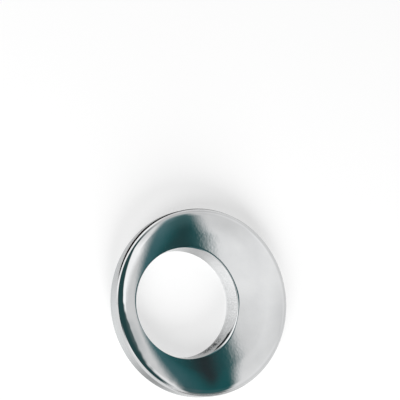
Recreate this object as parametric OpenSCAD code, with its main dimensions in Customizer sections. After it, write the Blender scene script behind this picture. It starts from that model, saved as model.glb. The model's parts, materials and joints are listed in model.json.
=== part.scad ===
// Offset washer: a round plate, blanked from strip and pierced off centre, then buffed and plated.
// The origin is on the bore's axis at the back face. +Z points out of the polished front face, and
// +X points from the bore's axis to the plate's wide side.

/* [Plate] */
// Diameter of the round plate
plate_d = 30; // [27:0.1:60]
// Thickness of the plate, from the back face to the flat of the front face
plate_t = 3.45; // [2.2:0.05:8]

/* [Bore] */
// Diameter of the smooth land, which the bolt passes through
bore_d = 17; // [6:0.1:19]
// Distance from the bore's axis to the plate's axis
bore_offset = 3.2; // [0:0.05:4]
// Length of the smooth land, from the back face
land_l = 1.25; // [0.4:0.05:2.6]
// Growth of the bore's radius from the land to the front, where the punched metal broke away
breakout = 0.3; // [0.05:0.05:0.8]
// Radius of the lip that buffing rolls from the front face into the bore
lip_r = 0.9; // [0.4:0.05:1.5]
// Slope of the lip where it reaches the mouth's edge, in degrees
lip_slope = 22; // [5:1:40]
// Radius of the mouth's edge, between the lip and the broken wall of the bore
mouth_r = 0.1; // [0.05:0.01:0.3]
// Radius of the edge at the back of the bore, rolled in by the punch
entry_r = 0.2; // [0.05:0.05:0.35]

/* [Outer edge] */
// Width of the gentle crown that buffing leaves on the front face, in from the side wall
crown_w = 4.2; // [2:0.1:6]
// Radius of the crown's arc
crown_r = 37; // [15:0.5:90]
// Radius of the rounded shoulder outside the crown
shoulder_r = 1.35; // [0.6:0.05:1.8]
// Slope of the shoulder where it reaches the side wall, in degrees
shoulder_slope = 68; // [40:1:85]
// Radius of the edge between the shoulder and the side wall
edge_r = 0.45; // [0.05:0.05:0.55]
// Radius of the edge between the side wall and the back face
back_edge_r = 0.2; // [0.05:0.05:0.5]

/* [Hidden] */
$fn = 180;

chrome = [0.8, 0.82, 0.83];
// How far a cut runs past the surface that it cuts
overrun = 1;
// How far an arc crosses the line or arc that it is tangent to, so that they meet in one clean edge
weld = 0.0001;

plate_r = plate_d / 2;
bore_r = bore_d / 2;

// A unit vector turned by an angle from straight up towards the side wall
function turned(angle) = [sin(angle), cos(angle)];

// The rim's points are measured from the side wall. The crown starts level with the flat face, the
// shoulder is tangent to the crown, and the edge is tangent to the shoulder and to the side wall.
crown_start = [-crown_w, plate_t];
crown_c = crown_start - [0, crown_r];
edge_reach = shoulder_r - edge_r;
shoulder_x = -edge_r - edge_reach * sin(shoulder_slope);
crown_slope = asin((shoulder_x - crown_c.x) / (crown_r - shoulder_r));
shoulder_c = crown_c + (crown_r - shoulder_r) * turned(crown_slope) + [0, weld];
edge_c = shoulder_c + edge_reach * turned(shoulder_slope) + [0, weld];
back_edge_c = [-back_edge_r, back_edge_r];

// The fracture zone is a cone. The mouth's arc is tangent to it and to the lip, and the lip to the
// front face.
flare = atan(breakout / (plate_t - land_l));
lip_reach = lip_r - mouth_r;
mouth_z = plate_t - lip_r + lip_reach * cos(lip_slope) + weld;
mouth_x = bore_r + (mouth_z - land_l) * tan(flare) + mouth_r / cos(flare);
mouth_start = [mouth_x, mouth_z] + mouth_r * [-cos(flare), sin(flare)];
mouth_c = [mouth_x - weld, mouth_z];
lip_c = [mouth_x + lip_reach * sin(lip_slope), plate_t - lip_r];
entry_c = [bore_r + entry_r, entry_r];

// The part of a disc that lies inside an outline
module disc_within(centre, radius, outline) {
    intersection() {
        translate(centre) circle(radius);
        polygon(outline);
    }
}

// Section of the rim, from the start of the crown to the side wall at x = 0
module rim_section() {
    polygon([
        [-crown_w, 0],
        [back_edge_c.x, 0],
        back_edge_c,
        [0, back_edge_c.y],
        [0, edge_c.y],
        edge_c,
        shoulder_c,
        crown_start,
    ]);
    translate(back_edge_c) circle(back_edge_r);
    translate(edge_c) circle(edge_r);
    disc_within(shoulder_c, shoulder_r, [
        shoulder_c,
        shoulder_c + [0, 2 * shoulder_r],
        shoulder_c + 2 * shoulder_r * turned(shoulder_slope),
    ]);
    disc_within(crown_c, crown_r, [
        shoulder_c,
        shoulder_c + (shoulder_r + overrun) * turned(crown_slope),
        crown_start + [0, overrun],
        crown_start,
    ]);
}

// Half section of the plate, about the plate's axis
module plate_section() {
    square([plate_r - crown_w, plate_t]);
    translate([plate_r, 0]) rim_section();
}

// Half section of the space that piercing leaves, about the bore's axis
module bore_section() {
    difference() {
        polygon([
            [0, -overrun],
            [entry_c.x, -overrun],
            entry_c,
            [bore_r, entry_c.y],
            [bore_r, land_l],
            mouth_start,
            mouth_c,
            [lip_c.x, mouth_c.y],
            [lip_c.x, plate_t + overrun],
            [0, plate_t + overrun],
        ]);
        translate(entry_c) circle(entry_r);
        translate(mouth_c) circle(mouth_r);
        disc_within(lip_c, lip_r, [
            lip_c,
            lip_c + 2 * lip_r * turned(-lip_slope),
            lip_c + [0, 2 * lip_r],
        ]);
    }
}

module washer() {
    color(chrome) difference() {
        translate([bore_offset, 0, 0]) rotate_extrude() plate_section();
        rotate_extrude() bore_section();
    }
}

washer();
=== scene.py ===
import json
import math

import bpy
import numpy as np
from mathutils import Matrix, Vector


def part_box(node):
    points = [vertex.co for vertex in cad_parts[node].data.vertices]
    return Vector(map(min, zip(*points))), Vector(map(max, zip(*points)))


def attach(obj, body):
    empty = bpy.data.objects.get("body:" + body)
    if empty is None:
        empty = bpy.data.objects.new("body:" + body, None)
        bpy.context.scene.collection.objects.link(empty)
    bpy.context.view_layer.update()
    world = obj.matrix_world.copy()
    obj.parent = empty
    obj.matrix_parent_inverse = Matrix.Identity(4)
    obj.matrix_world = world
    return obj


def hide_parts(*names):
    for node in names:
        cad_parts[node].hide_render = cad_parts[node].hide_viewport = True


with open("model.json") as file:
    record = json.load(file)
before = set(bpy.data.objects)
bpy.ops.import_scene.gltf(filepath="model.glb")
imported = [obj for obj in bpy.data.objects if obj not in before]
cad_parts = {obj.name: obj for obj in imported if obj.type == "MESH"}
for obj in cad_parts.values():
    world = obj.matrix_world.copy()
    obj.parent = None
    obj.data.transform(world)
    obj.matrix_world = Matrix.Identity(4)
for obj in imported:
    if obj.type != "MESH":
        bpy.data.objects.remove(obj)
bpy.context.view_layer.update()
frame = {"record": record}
mm = 0.001


def ease(low, high, x):
    # Smoothstep: 0 below low, 1 above high, three t squared less two t cubed between them
    t = np.clip((x - low) / (high - low), 0, 1)
    return t * t * (3 - 2 * t)


def step(entry, x):
    # An amount, times the eased step between two places
    amount, low, high = entry
    return amount * ease(low, high, x)


def mix(first, second, share):
    # First plus the share of the way to second
    return first + (second - first) * share


def past(start, x):
    # How far x is past the start, and 0 before it
    return np.maximum(x - start, 0)


def hill(x, spread):
    # Bell curve: e to the minus square of x over its spread
    return np.exp(-((x / spread) ** 2))


# The photograph's view. Degrees, millimetres, and pixels of its 400 pixel frame.
shot = {
    "tilt": 26.34,  # from the washer's axis to the line of sight
    "turn": 5.21,  # of the line of sight about that axis
    "lean": 9.16,  # roll about the line of sight
    "away": 400.0,  # from the eye to the middle of the front face
    "focal": 2520.7,
    "middle": (205.48, 301.98),  # where the middle of the front face falls
    "frame": 400,
    "sensor": 36.0,
    "clip": (5.0, 10000.0),
}
tilt, turn, lean = (math.radians(shot[key]) for key in ("tilt", "turn", "lean"))
across = np.array([math.cos(turn), math.sin(turn), 0])  # along the floor, away from the eye
aside = np.array([-math.sin(turn), math.cos(turn), 0])  # along the floor, to the picture's top
upright = np.array([0, 0, 1.0])


def heading(bearing):
    # Unit direction along the floor: cosine of the bearing across, and its sine aside
    bearing = np.radians(bearing)[..., None]
    return np.cos(bearing) * across + np.sin(bearing) * aside


def addCamera(middle):
    # The eye stands off the middle of the front face along the line of sight. The camera is turned so that
    # the middle falls on its pixel: its axis is the ray through the frame's own middle pixel.
    sight = math.sin(tilt) * across - math.cos(tilt) * upright
    level = math.cos(tilt) * across + math.sin(tilt) * upright
    right = math.cos(lean) * level - math.sin(lean) * aside
    top = math.sin(lean) * level + math.cos(lean) * aside
    half = shot["frame"] / 2
    x, y = shot["middle"]
    ray = shot["focal"] * sight + (half - x) * right - (half - y) * top
    back = -ray / np.linalg.norm(ray)
    right = right - (right @ back) * back
    right /= np.linalg.norm(right)
    place = np.eye(4)
    place[:3, 0], place[:3, 1], place[:3, 2] = right, np.cross(back, right), back
    place[:3, 3] = (middle - shot["away"] * sight) * mm
    lens = bpy.data.cameras.new("photoLens")
    lens.sensor_width = shot["sensor"]
    lens.lens = shot["focal"] * shot["sensor"] / shot["frame"]
    lens.clip_start, lens.clip_end = (end * mm for end in shot["clip"])
    camera = bpy.data.objects.new("photoCamera", lens)
    camera.matrix_world = Matrix(place.tolist())
    bpy.context.scene.collection.objects.link(camera)
    bpy.context.scene.camera = camera


def gridMesh(name, points, wrapRings, wrapAround):
    # Quads between each ring and the next, and each point of a ring and the next, wrapped round where asked
    rings, around = points.shape[:2]
    ring, place = np.meshgrid(
        np.arange(rings if wrapRings else rings - 1),
        np.arange(around if wrapAround else around - 1),
        indexing="ij",
    )
    nextRing, nextPlace = (ring + 1) % rings, (place + 1) % around
    corners = [
        ring * around + place,
        ring * around + nextPlace,
        nextRing * around + nextPlace,
        nextRing * around + place,
    ]
    mesh = bpy.data.meshes.new(name)
    mesh.from_pydata(points.reshape(-1, 3) * mm, [], np.stack(corners, -1).reshape(-1, 4))
    mesh.polygons.foreach_set("use_smooth", np.ones(len(mesh.polygons), bool))
    mesh.update()
    piece = bpy.data.objects.new(name, mesh)
    bpy.context.scene.collection.objects.link(piece)
    return piece


def setPoints(piece, name, values):
    # One number for each point of the grid, for the material to read
    layer = piece.data.attributes.new(name, "FLOAT", "POINT")
    layer.data.foreach_set("value", np.ascontiguousarray(values, np.float32).ravel())


# The washer. Millimetres and degrees, and first the sizes that the part's source has too. A place round the
# bore or the rim is an angle, a spread and an amount. Depths in the bore are from the front face down.
washerForm = {
    "breakout": 0.3,
    "land": 1.25,
    "entry": 0.2,
    "crownWidth": 4.2,
    "crown": 37.0,
    "shoulder": 1.35,
    "shoulderSlope": 68.0,
    "edge": 0.45,
    "backEdge": 0.2,
    # Mouth of the bore
    "mouthBends": ((0, 1.5), (6, 1.5), (9, 0.6), (21, 0.6), (25, 0.05), (90, 0.05)),  # radius by slope
    "lip": (10.0, 0.15),  # where the wheel rolled the lip most, and its share of that opposite
    "lipTurn": (-0.05, 0.35),  # cosines from that place between which the lip grows
    "mildUnder": 7.0,  # slopes of the lip's mild part
    "lipMild": ((165.0, 34.0, 1.4), (-20.0, 14.0, -0.6), (5.0, 11.0, 0.6)),  # more or less of that part
    "lipHard": ((25.0, 32.0, -0.6), (-45.0, 20.0, 0.35)),  # more or less of the rest
    "broken": ((0.0, 70.0, 0.09), (-48.0, 30.0, 0.06)),  # where the metal broke away wider
    # Tears in the fracture zone
    "tearDepth": 0.004,
    "tearStart": (0.0, 0.1),  # share of the way down at which the marks start
    "tearWaves": 140,
    "tearCounts": (60, 270),  # waves round the bore
    "tearTurns": 24.0,  # how much they slant
    "tearFall": 0.6,  # how fast finer waves get lower
    "tearSide": -50.0,  # where round the bore the metal tore most
    "tearRough": (0.18, -0.2, 0.7),  # how rough it is there, and cosines from there between which it grows
    "tearFoot": (2.6, 3.2),
    "shadedCleft": (-46.0, 18.0, 1.3),  # rough tear under the mouth's edge, darkened by painted shade
    "cleftTop": (0.08, 0.16),
    "cleftTips": (0.12, 0.22),  # its foot at its two ends
    "cleftMiddle": (0.48, 0.78),  # how much deeper its foot is between them
    "cleftRough": 0.3,
    "grains": (-59.0, 13.0, 1.25),  # dark grains by the land
    "grainsMost": 0.95,
    "grainsTop": (0.8, 2.0),
    "grainsFoot": (2.5, 3.3),
    "boreShade": ((68.0, 27.0, 0.41), (-53.0, 31.0, 0.38)),  # painted shade round the bore
    "seed": 7,
    # Rim
    "sideWallShade": ((231.0, 17.0, 0.46),),  # painted shade on the side wall
    "burnish": ((135.0, 42.0, 1.0),),  # where the side wall's top is polished
    "burnishFoot": (0.9, 1.4),  # how far down it is polished there
    "polishFoot": (0.15, 0.3),  # and elsewhere
    "buffed": ((199.0, 13.0, 0.2),),  # hand buffing, and how far in it cut the shoulder
    "buffSlopes": (12.0, 48.0),  # slopes of the shoulder between which the cut fades in
    "buffFade": 1.4,  # width of the face over which it fades out
    "rippled": ((200.0, 35.0, 0.014),),
    "ripples": ((9, 0.4), (14, 2.1), (23, 4.4), (37, 1.2), (59, 3.0)),  # waves round the rim, and phase
    # Rings of the grid
    "around": 560,
    "edgeRings": 7,
    "wallRings": (5, 10, 14, 17, 19, 21, 22, 24),  # of 24 even steps up, closest at the top
    "shoulderRings": 31,
    "faceRings": 48,
    "mouthRings": 25,
    "mouthFine": 400,  # steps of the mouth's sums
    "mouthCrowd": 1.6,  # power that crowds them to the mild slopes
    "fractureRings": 28,
    "landRings": 8,
    "backRings": 5,
}


def arc(centre, radius, first, last, count):
    # Points of a section's arc: the centre plus the radius times cosine and sine of evenly spaced angles
    angle = np.radians(np.linspace(first, last, count))
    return np.column_stack([centre[0] + radius * np.cos(angle), centre[1] + radius * np.sin(angle)])


def between(first, last, count):
    # The rings between two rings: even blends from the first to the last
    share = np.linspace(0, 1, count)[1:-1, None, None]
    return (1 - share) * first + share * last


def amountRound(angle, places):
    # Sum of bell curves of the angle from each place, the short way round
    degrees = np.degrees(angle)
    return sum(much * hill((degrees - at + 180) % 360 - 180, spread) for at, spread, much in places)


def tearMarks(form, angle, depth):
    # Waves round and down the bore: cosine of count times angle, plus turns times depth, plus a phase,
    # summed with smaller heights for finer waves, and scaled to a spread of one
    chance = np.random.default_rng(form["seed"])
    shape = (form["tearWaves"], 1, 1)
    fewest, most = form["tearCounts"]
    count = chance.integers(fewest, most, shape)
    turns = chance.normal(0, form["tearTurns"], shape)
    phase = chance.uniform(0, 2 * np.pi, shape)
    waves = np.cos(count * angle + turns * depth + phase) * (fewest / count) ** form["tearFall"]
    marks = waves.sum(0)
    return marks / marks.std()


def buffing(form, angle):
    # How far in the buffing wheel cut the shoulder: bell curves round the rim, plus a ripple of a few cosines
    ripple = sum(np.cos(count * angle + phase) for count, phase in form["ripples"])
    return amountRound(angle, form["buffed"]) + amountRound(angle, form["rippled"]) * ripple


def mouthBend(form, angle, flare):
    # The mouth bends from level to the fracture's slope. Its run and drop are the sums of radius times cosine
    # and sine of the slope, smaller round the side that the wheel hardly reached, with the mild slopes and the
    # others each by their own share.
    fine = form["mouthFine"]
    bend = np.linspace(0, 1, fine + 1) ** form["mouthCrowd"] * (math.pi / 2 - flare)
    slope = (bend[1:] + bend[:-1]) / 2
    radii = np.interp(np.degrees(slope), *np.transpose(form["mouthBends"])) * np.diff(bend)
    mild = np.degrees(slope) < form["mildUnder"]
    steps = np.linspace(0, fine, form["mouthRings"]).astype(int)
    at, least = form["lip"]
    lip = mix(least, 1, ease(*form["lipTurn"], np.cos(angle - math.radians(at))))
    shares = [lip + amountRound(angle, form[key]) for key in ("lipMild", "lipHard")]
    return (
        sum(
            np.r_[0, np.cumsum(radii * part * way(slope))][steps][:, None] * share
            for part, share in zip((mild, ~mild), shares)
        )
        for way in (np.cos, np.sin)
    )


def tearing(form, angle, down):
    # How torn the bore is, and how much painted shade darkens its cleft, by angle and depth: a rough side, a
    # lens-shaped cleft under the mouth's edge, and grains by the land
    side = np.cos(angle - math.radians(form["tearSide"]))
    most = np.minimum(amountRound(angle, [form["shadedCleft"]]), 1)
    footStart, footEnd = (tip + more * most**2 for tip, more in zip(form["cleftTips"], form["cleftMiddle"]))
    shadedCleft = most * ease(*form["cleftTop"], down) * (1 - ease(footStart, footEnd, down))
    grains = np.minimum(amountRound(angle, [form["grains"]]), form["grainsMost"])
    grains = grains * ease(*form["grainsTop"], down) * (1 - ease(*form["grainsFoot"], down))
    rough = step(form["tearRough"], side) * (1 - ease(*form["tearFoot"], down))
    return rough + grains + form["cleftRough"] * shadedCleft, shadedCleft


def washerSurface(form):
    # Sections turned round two axes: the rim about the plate's axis, the bore about its own. The face joins
    # the two by straight blends between points at the same angle, lifted to the height of flat and crown.
    low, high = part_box("washer")
    radius, thick = (high.x - low.x) / 2 / mm, high.z / mm
    offset = (high.x + low.x) / 2 / mm
    bore = next(mount for mount in frame["record"]["mounts"] if mount["name"] == "bore")["dims"]["r_mm"]
    angle = np.linspace(0, 2 * np.pi, form["around"], endpoint=False)
    edge, backEdge, entryEdge = form["edge"], form["backEdge"], form["entry"]
    crown, shoulder = form["crown"], form["shoulder"]

    def revolve(section, axis):
        # Each section point (r, z) becomes the ring axis + r cosine, r sine, z. A section may change round it.
        r, z = np.moveaxis(section if section.ndim == 3 else section[:, None], -1, 0)
        return np.stack([axis + r * np.cos(angle), r * np.sin(angle), z + 0 * angle], -1)

    def pushOut(rings, far):
        # Moves rings straight out from their axis
        rings[..., 0] += far * np.cos(angle)
        rings[..., 1] += far * np.sin(angle)

    crownStart = radius - form["crownWidth"]
    reach = shoulder - edge
    steep = math.radians(form["shoulderSlope"])
    shoulderR = radius - edge - reach * math.sin(steep)
    gentle = math.asin((shoulderR - crownStart) / (crown - shoulder))
    shoulderZ = thick - crown + (crown - shoulder) * math.cos(gentle)
    edgeZ = shoulderZ + reach * math.cos(steep)
    crownEnd = shoulderR + shoulder * math.sin(gentle)

    def faceHeight(x, y):
        # Flat inside the crown's start, then the crown's circle, by the distance from the plate's axis. Near
        # the shoulder that distance grows by as much as the buffing cut in.
        cut = buffing(form, np.arctan2(y, x - offset))
        out = np.hypot(x - offset, y)
        out = out + cut * (1 - ease(0, form["buffFade"], crownEnd - cut - out))
        return thick - crown + np.sqrt(crown**2 - past(crownStart, out) ** 2)

    slopes = np.linspace(form["shoulderSlope"], math.degrees(gentle), form["shoulderRings"])
    wallRings = list(form["wallRings"])
    wall = np.linspace((radius, backEdge), (radius, edgeZ), wallRings[-1] + 1)[wallRings]
    rim = [
        arc((radius - backEdge, backEdge), backEdge, -90, 0, form["edgeRings"]),
        wall,
        arc((radius - edge, edgeZ), edge, 0, 90 - slopes[0], form["edgeRings"])[1:],
        arc((shoulderR, shoulderZ), shoulder, 90 - slopes[0], 90 - slopes[-1], len(slopes))[1:],
    ]
    wallEnd, shoulderStart = len(rim[0]) + len(wall), -len(rim[3])
    rimRings = revolve(np.concatenate(rim), offset)
    cut = buffing(form, angle) * (1 - ease(*form["buffSlopes"], slopes[1:, None]))
    pushOut(rimRings[shoulderStart:], -cut)

    flare = math.atan(form["breakout"] / (thick - form["land"]))
    run, drop = mouthBend(form, angle, flare)
    mouthEnd = bore + amountRound(angle, form["broken"]) + (thick - drop[-1] - form["land"]) * math.tan(flare)
    mouth = revolve(np.stack([mouthEnd + run[-1] - run, -drop], -1), 0)
    mouth[..., 2] += faceHeight(mouth[..., 0], mouth[..., 1])
    face = between(rimRings[-1], mouth[0], form["faceRings"])
    face[..., 2] = faceHeight(face[..., 0], face[..., 1])

    # The fracture zone and the land. The marks are as deep as the metal is torn.
    land = revolve(np.linspace((bore, form["land"]), (bore, entryEdge), form["landRings"]), 0)
    fracture = between(mouth[-1], land[0], form["fractureRings"])
    depth = np.linspace(0, 1, form["fractureRings"])[1:-1, None]
    torn, shadedCleft = tearing(form, angle, thick - np.concatenate([fracture, land])[..., 2])
    marks = ease(*form["tearStart"], depth) * tearMarks(form, angle, depth)
    pushOut(fracture, form["tearDepth"] * torn[: len(fracture)] * marks)

    entry = revolve(arc((bore + entryEdge, entryEdge), entryEdge, 180, 270, form["edgeRings"])[1:], 0)
    back = between(entry[-1], rimRings[0], form["backRings"])

    # Finish of each ring: satin side wall with a burnished top, dull bore with a torn zone, rolled back, and
    # the rest polished, with painted shade on parts of the side wall and the bore
    parts = [rimRings, face, mouth, fracture, land, entry, back]
    points = np.concatenate(parts)
    ends = np.cumsum([len(part) for part in parts])
    boreRings, tornRings, backRings = slice(ends[2], ends[5]), slice(ends[2], ends[4]), slice(ends[5], None)
    finish = {name: np.zeros(points.shape[:2]) for name in ("satin", "bored", "torn", "rolled", "paintedShade")}
    under = edgeZ - rimRings[:wallEnd, :, 2]
    burnished = amountRound(angle, form["burnish"]) * (1 - ease(*form["burnishFoot"], under))
    finish["satin"][:wallEnd] = 1 - np.maximum(burnished, 1 - ease(*form["polishFoot"], under))
    # Painted shade on the side wall
    finish["paintedShade"][:wallEnd] = amountRound(angle, form["sideWallShade"])
    finish["bored"][boreRings] = 1
    finish["torn"][tornRings] = torn
    # Painted shade round the bore, and deepest in the cleft
    finish["paintedShade"][boreRings] = amountRound(angle, form["boreShade"])
    finish["paintedShade"][tornRings] = np.maximum(finish["paintedShade"][tornRings], shadedCleft)
    finish["rolled"][0] = finish["rolled"][backRings] = 1
    print("washer: %d rings of %d points" % points.shape[:2])
    return points, finish


def addNode(tree, kind, inputs=None, **settings):
    # A node with its settings, and each of its inputs either given a value or linked from another socket
    node = tree.nodes.new(kind)
    for name, value in settings.items():
        setattr(node, name, value)
    for name, value in (inputs or {}).items():
        giveInput(tree, node.inputs[name], value)
    return node


def giveInput(tree, socket, value):
    # Links the socket from another one, or sets its value
    if isinstance(value, bpy.types.NodeSocket):
        tree.links.new(value, socket)
    else:
        socket.default_value = value


def blendOf(tree, kind, amount, first, second):
    # First and second mixed by the amount, as numbers or as colours
    node = addNode(tree, "ShaderNodeMix", data_type=kind)
    firstPlace, secondPlace, result = {"FLOAT": (2, 3, 0), "RGBA": (6, 7, 2)}[kind]
    for place, value in ((0, amount), (firstPlace, first), (secondPlace, second)):
        giveInput(tree, node.inputs[place], value)
    return node.outputs[result]


def rampOf(tree, amount, stops):
    # Colour by the amount, through two stops of (place, colour)
    node = addNode(tree, "ShaderNodeValToRGB", {"Fac": amount})
    for point, (place, colour) in zip(node.color_ramp.elements, stops):
        point.position, point.color = place, (*colour, 1)
    return node.outputs["Color"]


# The plated finish. A pattern has waves a metre along each axis, and a detail. Heights are metres.
chromeLook = {
    "bright": ((0.3, (0.595, 0.601, 0.607)), (0.7, (0.655, 0.661, 0.665))),
    "satinWall": ((0.3, (0.62, 0.637, 0.642)), (0.7, (0.71, 0.727, 0.732))),
    "boreWall": ((0.3, (0.91, 0.92, 0.925)), (0.7, (0.98, 0.985, 0.99))),
    "tornWall": ((0.47, (0.02, 0.027, 0.028)), (0.6, (0.85, 0.86, 0.865))),
    # painted shade: the dark colour laid on shaded parts of the bore, the side wall and the cleft
    "paintedShade": ((0.3, (0.012, 0.016, 0.017)), (0.7, (0.07, 0.076, 0.078))),
    "edgeTint": (0.8, 0.3),  # dip at grazing angles, of chromium and of the painted shade
    "roughness": {"polish": (0.03, 0.05), "satin": (0.16, 0.26), "torn": (0.25, 0.42)},
    "patterns": {
        "cloud": ((220, 220, 220), 3.0),
        "peel": ((800, 800, 800), 1.0),
        "grain": ((2400, 2400, 2400), 2.0),
        "lines": ((70, 70, 9000), 3.0),
        "pulls": ((1700, 1700, 240), 3.0),
        "tears": ((5200, 5200, 4000), 4.0),
        "rolls": ((5000, 60, 60), 3.0),
    },
    "heights": {"peel": 6e-7, "grain": 1.2e-6, "lines": 9e-6, "rolls": 8e-6, "tears": 2e-5},
    "noiseRange": (0.3, 0.7),  # where most of a pattern's values lie
}


def chromePlate(look):
    # Metal with a bright buffed face, fine lines along the side wall, pulled marks down the bore, grain along
    # the rolled back, and a mottled fracture zone, with painted shade darkening parts of the bore and the side
    # wall. Each finish fades by the number that the surface carries.
    material = bpy.data.materials.new("chromePlate")
    material.use_nodes = True
    tree = material.node_tree
    shader = tree.nodes["Principled BSDF"]
    place = addNode(tree, "ShaderNodeTexCoord").outputs["Object"]
    finish = {
        name: addNode(tree, "ShaderNodeAttribute", attribute_name=name).outputs["Fac"]
        for name in ("satin", "bored", "torn", "rolled", "paintedShade")
    }

    def noise(scale, detail):
        # Noise on object coordinates, stretched by a scale for each axis
        vector = addNode(tree, "ShaderNodeMapping", {"Vector": place, "Scale": scale}).outputs["Vector"]
        inputs = {"Vector": vector, "Scale": 1.0, "Detail": detail}
        return addNode(tree, "ShaderNodeTexNoise", inputs).outputs["Fac"]

    pattern = {name: noise(*sizes) for name, sizes in look["patterns"].items()}
    least, most = look["noiseRange"]

    def roughOf(name, level):
        # The pattern's range carried to the two ends of a roughness
        low, high = look["roughness"][level]
        inputs = {"Value": pattern[name], "From Min": least, "From Max": most, "To Min": low, "To Max": high}
        return addNode(tree, "ShaderNodeMapRange", inputs).outputs["Result"]

    colour = rampOf(tree, pattern["cloud"], look["bright"])
    for name, source, stops in (
        ("satin", "lines", "satinWall"),
        ("bored", "pulls", "boreWall"),
        ("rolled", "rolls", "satinWall"),
        ("torn", "tears", "tornWall"),
        # painted shade, streaked along the lines
        ("paintedShade", "lines", "paintedShade"),
    ):
        colour = blendOf(tree, "RGBA", finish[name], colour, rampOf(tree, pattern[source], look[stops]))

    rough = roughOf("cloud", "polish")
    for name, source, level in (
        ("satin", "lines", "satin"),
        ("bored", "cloud", "satin"),
        ("rolled", "rolls", "satin"),
        ("torn", "tears", "torn"),
    ):
        rough = blendOf(tree, "FLOAT", finish[name], rough, roughOf(source, level))

    normal = None
    for name, source in (
        (None, "peel"),
        (None, "grain"),
        ("satin", "lines"),
        ("rolled", "rolls"),
        ("torn", "tears"),
    ):
        inputs = {"Height": pattern[source], "Distance": look["heights"][source]}
        if name:
            inputs["Strength"] = finish[name]
        if normal:
            inputs["Normal"] = normal
        normal = addNode(tree, "ShaderNodeBump", inputs).outputs["Normal"]

    # Grazing dip of chromium, and a deeper one under the painted shade
    clean, shadedTint = ((level, level, level, 1) for level in look["edgeTint"])
    shader.inputs["Metallic"].default_value = 1
    tree.links.new(blendOf(tree, "RGBA", finish["paintedShade"], clean, shadedTint), shader.inputs["Specular Tint"])
    tree.links.new(colour, shader.inputs["Base Color"])
    tree.links.new(rough, shader.inputs["Roughness"])
    tree.links.new(normal, shader.inputs["Normal"])
    return material


def addWasher():
    # The surface as one closed grid, with its finishes and its plating, in place of the solid
    points, finish = washerSurface(washerForm)
    washer = gridMesh("platedWasher", points, True, True)
    for name, values in finish.items():
        setPoints(washer, name, values)
    washer.data.materials.append(chromePlate(chromeLook))
    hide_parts("washer")
    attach(washer, "root")
    print("washer: %d triangles" % (2 * len(washer.data.polygons)))


def bareMaterial(name):
    # A material with no shader yet
    material = bpy.data.materials.new(name)
    material.use_nodes = True
    material.node_tree.nodes.remove(material.node_tree.nodes["Principled BSDF"])
    return material


def seenShare(tree):
    # 1 for rays from the camera, in a reflection or through glass, and 0 for light that spreads
    path = addNode(tree, "ShaderNodeLightPath")
    share = path.outputs["Is Camera Ray"]
    for name in ("Is Glossy Ray", "Is Transmission Ray"):
        inputs = {0: share, 1: path.outputs[name]}
        share = addNode(tree, "ShaderNodeMath", inputs, operation="MAXIMUM").outputs[0]
    return share


# The white floor
floorLook = {
    "paint": 0.4,  # what it reflects
    "glow": 0.63,  # what it adds where it is seen
    "below": 0.02,  # how far it is under the back face
    "reach": 2000.0,  # half its side
}


def addFloor(look):
    # A square sheet just under the back face
    side = np.linspace(-look["reach"], look["reach"], 3)
    y, x = np.meshgrid(side, side, indexing="ij")
    floor = gridMesh("floor", np.stack([x, y, 0 * x - look["below"]], -1), False, False)
    material = bareMaterial("whiteFloor")
    tree = material.node_tree
    paint = addNode(tree, "ShaderNodeBsdfDiffuse", {"Color": (look["paint"],) * 3 + (1,)})
    inputs = {0: seenShare(tree), 1: look["glow"]}
    amount = addNode(tree, "ShaderNodeMath", inputs, operation="MULTIPLY")
    glow = addNode(tree, "ShaderNodeEmission", {"Strength": amount.outputs[0]})
    both = addNode(tree, "ShaderNodeAddShader", {0: paint.outputs[0], 1: glow.outputs[0]})
    tree.links.new(both.outputs[0], tree.nodes["Material Output"].inputs["Surface"])
    floor.data.materials.append(material)


# The tent that the metal mirrors: a flat ceiling of cloth and a round wall. Places on the ceiling are
# millimetres from the bore's axis: u across, and v aside, to the picture's top or its foot. Where a note says
# no more, two numbers are the ends of an eased step, and three are an amount and the ends of its step.
tentLook = {
    "height": 150.0,
    "reach": 330.0,
    "shade": (0.028, 0.081, 0.084),  # dark side, behind the camera
    "shadeRise": (0.12, -75.0, 30.0),  # how it grows lighter across the tent
    "gapStart": (0.0, 40.0),  # where it becomes the gap
    "acrossRuns": ((-60.0, 29), (40.0, 50), (130.0, 180), (330.0, 20)),  # grid: end of each run, and its steps
    "asideRuns": ((-150.0, 36), (150.0, 150), (330.0, 36)),
    "wallRings": 61,
    "wallAround": 360,
}

overheadBox = {
    "start": (-45.0, -0.35),  # near edge, and its slope to the top
    "startFade": 14.0,  # half the width that it fades over
    "startFootFade": (16.0, -25.0, 30.0),  # more of that to the foot
    "startMiddleFade": (22.0, 9.0),  # and in the middle, with its spread
    "bay": 70.0,  # how far a bay in the near edge goes in
    "bayTop": (-18.0, 20.0),
    "bayFoot": (8.0, 60.0, 1.5),  # where it starts to close, over what length and by what power
    "bayEnd": (75.0, 105.0),
    "end": 50.0,  # far edge
    "endTop": (24.0, 42.0, 45.0),  # how far that draws in to the top, from where and over what length
    "endFoot": (55.0, 38.0, 90.0),
    "endFade": (8.0, 6.0),  # its fade inwards and outwards
    "endSoft": (30.0, 0.12, 0.18, 70.0),  # where it gets softer, how fast to top and foot, and the foot's limit
    "levels": (1.18, 1.44),  # towards the foot and the top
    "levelStep": (-6.0, 8.0),
    "stripLevel": 0.92,  # along the far edge
    "strip": (21.0, 0.8, -10.0, 28.0),  # where that starts, and its slope from one place to another
    "stripTop": (36.0, 0.65),  # from where it turns back to the top, and how fast
    "stripFade": (4.0, 8.0),
    "stripBlur": (30.0, 0.35),
    "cornerLevel": 1.05,
    "cornerTop": (70.0, 130.0),
    "cornerTurn": (-0.3, 0.1),  # ways across for each way to the top
}

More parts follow.
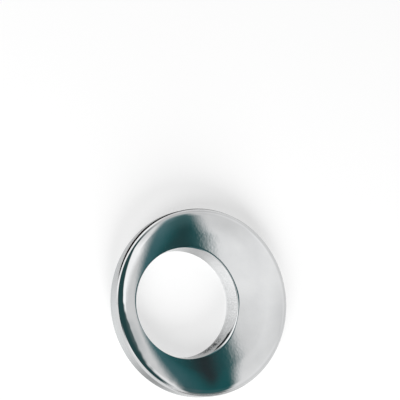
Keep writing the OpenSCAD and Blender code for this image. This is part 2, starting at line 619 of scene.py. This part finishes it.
farBox = {
    "start": 79.1,  # near edge
    "startTop": 0.00095,  # how it curves away to the top
    "startFoot": (0.17, 0.0013),  # how it leans and curves away to the foot
    "startMost": 200.0,
    "fade": (2.0, 0.085, 0.06),  # half the width that it fades over, and how that grows to top and foot
    "level": 1.0,
    "farRise": (0.07, 105.0, 150.0),
    "ridge": (0.17, 5.0, 17.0),  # light ridge: how much, where aside and its spread
    "ridgeTurn": (95.0, 0.65, 0.35),  # from where it leans, how fast, and how fast it spreads to the foot
    "ridgeEnd": (200.0, 280.0),
    "topDims": ((0.1, 5.0, 30.0), (0.1, 30.0, 110.0)),  # darker to the ridge's top
    "topDimEnd": (140.0, 230.0),
    "footRise": (0.07, 25.0, 45.0),
    "footRiseEnd": (130.0, 175.0),
    "nearDim": (0.13, -3.0, 3.0),  # darker along the near edge, to the foot
    "nearDimFoot": (0.6, 10.0, 20.0),
    "nearDimEnd": (82.0, 93.0),
    "valley": (0.14, 16.0),  # dark valley: how much, and its spread
    "valleyLine": (15.0, 0.4, 115.0),  # how far to the foot, and how that grows across from where
    "valleyStart": (105.0, 140.0),
}

darkGap = {
    "near": (0.066, 0.176, 0.194),  # along the overhead box
    "nearFoot": (0.28, 10.0, 60.0),  # darker to the foot
    "far": (0.019, 0.118, 0.125),  # along the far box
    "farStep": (56.0, 70.0),
    "core": ((0.029, 0.037, 0.041), (0.024, 0.0745, 0.078)),  # darkest line, towards the foot and the top
    "coreStep": (-10.0, 20.0),
    "coreAt": 72.4,
    "coreShift": (1.0, 0.0, 15.0),  # further across to the foot
    "coreWidths": (6.0, 3.4),  # spread to either side
    "coreNarrow": (1.5, 0.0, 15.0),  # narrower to the foot
    "coreTopEnd": (0.85, 22.0, 44.0),
    "coreFootEnd": (0.9, 24.0, 50.0),
    "topRise": (0.55, 40.0, 400.0),  # lighter to the top
    "haze": 0.05,
    "hazeTop": (22.0, 48.0),
    "hazeTopEnd": (72.0, 112.0),
    "hazeFoot": (0.5, 60.0, 95.0),
}

# Bearings are degrees from across towards aside, and rises are degrees up from the floor
roundWall = {
    "levels": (0.9, 1.0),  # at the floor and above
    "levelStep": (4.0, 14.0),
    "topLevel": 0.76,
    "topStep": (30.0, 60.0),
    "leftStart": (98.0, 112.0),  # light foot on the camera's left, by bearing the other way round
    "leftEnd": (150.0, 176.0),
    "leftLevel": (1.3, 0.65),  # and the share of that at its start
    "leftStep": (0.35, 112.0, 150.0),
    "leftTop": (11.0, 18.0),
    "leftLow": (6.0, 105.0, 148.0),  # how much lower its top is at its start
    "behind": (82.0, 116.0),  # where the dark side starts
    "column": 0.85,  # how dark the gap's foot on the wall is
    "columnStart": (-92.0, -84.0),
    "columnEnd": (-62.0, -52.0),
    "columnRise": (0.25, 0.0, 12.0),
}


def overheadLight(look, u, v):
    # How much of the ceiling the overhead box covers, and its level. Its edges are eased steps across the tent,
    # softer to top and foot, with a bay in the near one. A strip along the far edge has its own level.
    top, foot = past(0, v), past(0, -v)
    begin, length, power = look["bayFoot"]
    bay = np.exp(-((past(begin, foot) / length) ** power)) * (1 - ease(*look["bayEnd"], foot))
    bay = bay * (1 - ease(*look["bayTop"], v))
    near, slope = look["start"]
    start = near + slope * top + look["bay"] * bay
    middle, spread = look["startMiddleFade"]
    fade = look["startFade"] + step(look["startFootFade"], -v) + middle * hill(v, spread)
    end = look["end"]
    for way, (inwards, begin, length) in ((top, look["endTop"]), (foot, look["endFoot"])):
        end = end - inwards * (1 - np.exp(-past(begin, way) / length))
    begin, toTop, toFoot, longest = look["endSoft"]
    soft = toTop * past(begin, top) + toFoot * np.minimum(past(begin, foot), longest)
    inwards, outwards = look["endFade"]
    cover = ease(start - fade, start + fade, u) * (1 - ease(end - inwards - soft, end + outwards + soft, u))

    level = mix(*look["levels"], ease(*look["levelStep"], v))
    at, slope, first, last = look["strip"]
    begin, fast = look["stripTop"]
    strip = at + slope * np.clip(v, first, last) - fast * past(begin, v)
    begin, fast = look["stripBlur"]
    blur = fast * past(begin, v)
    inwards, outwards = look["stripFade"]
    level = mix(level, look["stripLevel"], ease(strip - inwards - blur, strip + outwards + blur, u))
    corner = ease(*look["cornerTop"], top) * ease(*look["cornerTurn"], u / np.maximum(top, 1))
    return cover, mix(level, look["cornerLevel"], corner)


def farLight(look, u, v):
    # How much of the ceiling the far box covers, and its level: a near edge that curves away to top and foot,
    # with a light ridge and a dark valley across the box
    top, foot = past(0, v), past(0, -v)
    leaned, bowed = look["startFoot"]
    most = look["startMost"]
    start = look["start"] + look["startTop"] * np.minimum(top, most) ** 2
    start = start + leaned * foot + bowed * np.minimum(foot, most) ** 2
    half, toTop, toFoot = look["fade"]
    fade = half + toTop * top + toFoot * foot
    cover = ease(start - fade, start + fade, u)

    much, at, spread = look["ridge"]
    begin, slope, widen = look["ridgeTurn"]
    ridge = v - at - slope * past(begin, u)
    spread = spread + widen * past(begin, u) * (ridge < 0)
    level = look["level"] + step(look["farRise"], u)
    level = level + much * hill(ridge, spread) * (1 - ease(*look["ridgeEnd"], u))
    level = level - sum(step(dim, ridge) for dim in look["topDims"]) * (1 - ease(*look["topDimEnd"], u))
    level = level + step(look["footRise"], foot) * (1 - ease(*look["footRiseEnd"], u))
    nearDim = step(look["nearDim"], -v) * (1 - step(look["nearDimFoot"], foot))
    level = level - nearDim * (1 - ease(*look["nearDimEnd"], u))
    much, spread = look["valley"]
    away, slope, begin = look["valleyLine"]
    valley = hill(v + away + slope * (u - begin), spread) * ease(*look["valleyStart"], u)
    return cover, level - much * valley


def gapLight(look, u, v):
    # Colour of the gap between the boxes: one colour along each, and between them the core as a bell curve
    top, foot = past(0, v), past(0, -v)
    near = np.array(look["near"]) * (1 - step(look["nearFoot"], foot))
    gap = mix(near, np.array(look["far"]), ease(*look["farStep"], u))
    core = mix(*np.array(look["core"]), ease(*look["coreStep"], v))
    deep = (1 - step(look["coreTopEnd"], top)) * (1 - step(look["coreFootEnd"], foot))
    off = u - look["coreAt"] - step(look["coreShift"], foot)
    nearSide, farSide = look["coreWidths"]
    width = np.where(off < 0, nearSide - step(look["coreNarrow"], foot), farSide)
    gap = mix(gap, core, deep * hill(off, width))
    haze = ease(*look["hazeTop"], top) * (1 - ease(*look["hazeTopEnd"], top)) + step(look["hazeFoot"], foot)
    return gap + step(look["topRise"], top) + look["haze"] * haze


def ceilingLight(look, u, v):
    # Levels of the ceiling as red, green and blue: the dark side and the gap, covered by the two boxes
    u, v = u[..., None], v[..., None]
    box, boxLevel = overheadLight(overheadBox, u, v)
    far, farLevel = farLight(farBox, u, v)
    shade = np.array(look["shade"]) + step(look["shadeRise"], u)
    dark = mix(shade, gapLight(darkGap, u, v), ease(*look["gapStart"], u))
    return dark * (1 - box) * (1 - far) + box * boxLevel + far * farLevel


def wallLight(look, shade, bearing, rise):
    # Levels of the round wall by bearing and rise: light, but dark behind the camera and at the gap's foot.
    # On the camera's left the dark part stops above a light foot.
    bearing, rise = bearing[..., None], rise[..., None]
    leftSide = ease(*look["leftStart"], -bearing)
    left = leftSide * (1 - ease(*look["leftEnd"], -bearing))
    light = mix(*look["levels"], ease(*look["levelStep"], rise))
    light = mix(light, look["topLevel"], ease(*look["topStep"], bearing))
    level, share = look["leftLevel"]
    light = mix(light, level * (share + step(look["leftStep"], -bearing)), left)
    lower = look["leftLow"]
    above = ease(*look["leftTop"], rise + lower[0] - step(lower, -bearing))
    behind = ease(*look["behind"], bearing) + leftSide * np.maximum(above, 1 - left)
    column = ease(*look["columnStart"], bearing) * (1 - ease(*look["columnEnd"], bearing))
    column = look["column"] * column * (1 - look["columnRise"][0] + step(look["columnRise"], rise))
    return mix(light, np.array(shade), np.clip(behind + column, 0, 1))


def glowCard(name, points, colours, wrapAround):
    # A card that shines by the colour of its points, and shows in reflections only
    card = gridMesh(name, points, False, wrapAround)
    layer = card.data.color_attributes.new("level", "FLOAT_COLOR", "POINT")
    values = np.concatenate([colours, np.ones_like(colours[..., :1])], -1)
    layer.data.foreach_set("color", np.ascontiguousarray(values, np.float32).ravel())
    material = bareMaterial(name + "Cloth")
    material.cycles.emission_sampling = "NONE"
    tree = material.node_tree
    level = addNode(tree, "ShaderNodeAttribute", attribute_name="level").outputs["Color"]
    glow = addNode(tree, "ShaderNodeEmission", {"Color": level})
    tree.links.new(glow.outputs[0], tree.nodes["Material Output"].inputs["Surface"])
    card.data.materials.append(material)
    card.visible_camera = card.visible_diffuse = card.visible_shadow = card.visible_transmission = False


def runs(start, stops):
    # Even steps from the start to the end of each run in turn
    places = []
    for end, count in stops:
        places.append(np.linspace(start, end, count, endpoint=False))
        start = end
    return np.concatenate([*places, [start]])


def addTent(look):
    # Ceiling: a grid across and aside, finest along the gap. Wall: a round drum from the floor to the ceiling.
    reach, height = look["reach"], look["height"]
    u, v = np.meshgrid(runs(-reach, look["acrossRuns"]), runs(-reach, look["asideRuns"]), indexing="ij")
    ceiling = u[..., None] * across + v[..., None] * aside + height * upright
    glowCard("ceiling", ceiling, ceilingLight(look, u, v), False)
    z = np.linspace(0, height, look["wallRings"])
    z, bearing = np.meshgrid(z, np.linspace(-180, 180, look["wallAround"], endpoint=False), indexing="ij")
    wall = reach * heading(bearing) + z[..., None] * upright
    rise = np.degrees(np.arctan2(z, reach))
    glowCard("wall", wall, wallLight(roundWall, look["shade"], bearing, rise), True)


# Cards on the floor round the plate. Bearings of the ends and the degrees that they fade over, how far the near
# edge is from the plate at each end, width, and levels near and far.
flagCards = (
    {"ends": (52.0, 160.0), "fades": (36.0, 12.0), "near": (-0.12, 1.0), "width": 4.0, "levels": (0.02, 0.02)},
    {"ends": (92.0, 172.0), "fades": (20.0, 12.0), "near": (4.0, 5.4), "width": 40.0, "levels": (1.45, 1.3)},
    {"ends": (-112.0, -64.0), "fades": (14.0, 14.0), "near": (2.0, 2.0), "width": 38.0, "levels": (1.0, 0.15)},
)
flagGrid = {
    "rings": 25,
    "around": 91,
    "levelStep": (0.0, 0.33),  # shares of the width that the level changes over
}


def addFlag(flag, grid, floorLevel):
    # A flat strip of a ring round the plate, which fades into the floor at its ends, and from its near level to
    # its far one on the way out. The near edge goes from one place to the other by the square of the way along.
    low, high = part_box("washer")
    middle = np.array([(low.x + high.x) / 2, 0, 0]) / mm
    start, end = flag["ends"]
    startFade, endFade = flag["fades"]
    share = np.linspace(0, 1, grid["rings"])
    share, bearing = np.meshgrid(share, np.linspace(start, end, grid["around"]), indexing="ij")
    near = mix(*flag["near"], ((bearing - start) / (end - start)) ** 2)
    away = (high.x - low.x) / 2 / mm + near + flag["width"] * share
    strength = ease(start, start + startFade, bearing) * (1 - ease(end - endFade, end, bearing))
    light = mix(floorLevel, mix(*flag["levels"], ease(*grid["levelStep"], share)), strength)
    glowCard("flag", middle + away[..., None] * heading(bearing), light[..., None] * np.ones(3), False)


# Light card on the floor inside the bore
boreCard = {"at": 24.0, "spread": 20.0, "inner": 3.9, "outer": 6.1, "level": 1.2, "rings": 17, "around": 61}


def addBoreCard(look, floorLevel):
    # Part of a ring, lightest at its bearing by a bell curve, and half way out by a sine
    at, spread, inner, outer = (look[key] for key in ("at", "spread", "inner", "outer"))
    bearing = np.linspace(at - 2 * spread, at + 2 * spread, look["around"])
    away, bearing = np.meshgrid(np.linspace(inner, outer, look["rings"]), bearing, indexing="ij")
    strength = hill(bearing - at, spread) * np.sin(np.pi * (away - inner) / (outer - inner))
    light = mix(floorLevel, look["level"], strength)
    glowCard("boreCard", away[..., None] * heading(bearing), light[..., None] * np.ones(3), False)


# Even light from all round, and two soft lamps low at the picture's foot. Watts, millimetres, degrees.
lightLook = {
    "around": 0.15,
    "away": 600.0,
    "lamps": ((-145.0, 34.0, 380.0, 2.7), (-90.0, 18.0, 360.0, 5.9)),  # bearing, rise, size, watts
}


def addLamp(look, bearing, rise, size, watts):
    # A disc that faces the bore's axis, out along the direction of its two angles
    rise = math.radians(rise)
    out = math.cos(rise) * heading(bearing) + math.sin(rise) * upright
    data = bpy.data.lights.new("softLamp", "AREA")
    data.shape, data.size, data.energy = "DISK", size * mm, watts
    lamp = bpy.data.objects.new("softLamp", data)
    place = np.eye(4)
    side = np.cross(upright, out)
    side /= np.linalg.norm(side)
    place[:3, 0], place[:3, 1], place[:3, 2] = side, np.cross(out, side), out
    place[:3, 3] = look["away"] * out * mm
    lamp.matrix_world = Matrix(place.tolist())
    lamp.visible_glossy = False
    bpy.context.scene.collection.objects.link(lamp)


def addLight(look):
    # The world is white where it is seen, and lower where it lights. Shadows fall to the picture's top.
    world = bpy.data.worlds.new("studio")
    bpy.context.scene.world = world
    world.use_nodes = True
    world.cycles.sampling_method = "NONE"
    tree = world.node_tree
    inputs = {"Value": seenShare(tree), "To Min": look["around"], "To Max": 1.0}
    amount = addNode(tree, "ShaderNodeMapRange", inputs)
    tree.links.new(amount.outputs["Result"], tree.nodes["Background"].inputs["Strength"])
    tree.nodes["Background"].inputs["Color"].default_value = (1, 1, 1, 1)
    for lamp in look["lamps"]:
        addLamp(look, *lamp)


low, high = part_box("washer")
addCamera(np.array([(low.x + high.x) / 2, 0, high.z]) / mm)
print("camera: set")
addWasher()
addFloor(floorLook)
addTent(tentLook)
for flag in flagCards:
    addFlag(flag, flagGrid, roundWall["levels"][0])
addBoreCard(boreCard, roundWall["levels"][0])
addLight(lightLook)
print("studio: floor, tent, cards and lamps")

bpy.context.scene.view_settings.view_transform = "Standard"
